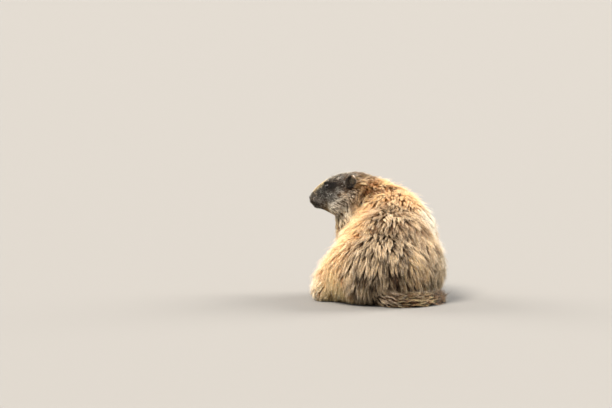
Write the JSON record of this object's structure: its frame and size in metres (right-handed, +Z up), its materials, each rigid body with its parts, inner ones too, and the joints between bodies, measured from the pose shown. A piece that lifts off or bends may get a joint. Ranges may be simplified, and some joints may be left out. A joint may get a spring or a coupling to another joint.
{
  "type": "alpine marmot",
  "caption": "Life-size still model of an alpine marmot sitting hunched on its haunches, head turned over its left shoulder, in a long coarse coat.",
  "frame": {"origin": "on the floor, under the middle of the animal's box", "axes": "+Z up; the hind quarters face -Y, so the animal's left side is +X; the head is turned to look along +X"},
  "size_m": [0.2676, 0.3572, 0.2244],
  "materials": {
    "coat": "coarse golden brown and grey guard hairs",
    "face_coat": "short grizzled dark fur",
    "tail_coat": "bushy dark brown fur",
    "ear_skin": "short dark fur",
    "foot": "short fur over bare soles",
    "claw": "horn, slightly glossy",
    "nose_pad": "moist bare skin",
    "eye": "wet gloss"
  },
  "bodies": {
    "root": {"torso": "coat", "neck": "coat", "head": "face_coat", "nose": "nose_pad", "ear_left": "ear_skin", "ear_right": "ear_skin", "eye_left": "eye", "eye_right": "eye", "foreleg_left": "coat", "foreleg_right": "coat", "forefoot_left": "foot", "forefoot_right": "foot", "hindleg_left": "coat", "hindleg_right": "coat", "hindfoot_left": "foot", "hindfoot_right": "foot", "tail": "tail_coat"}
  },
  "joints": []
}
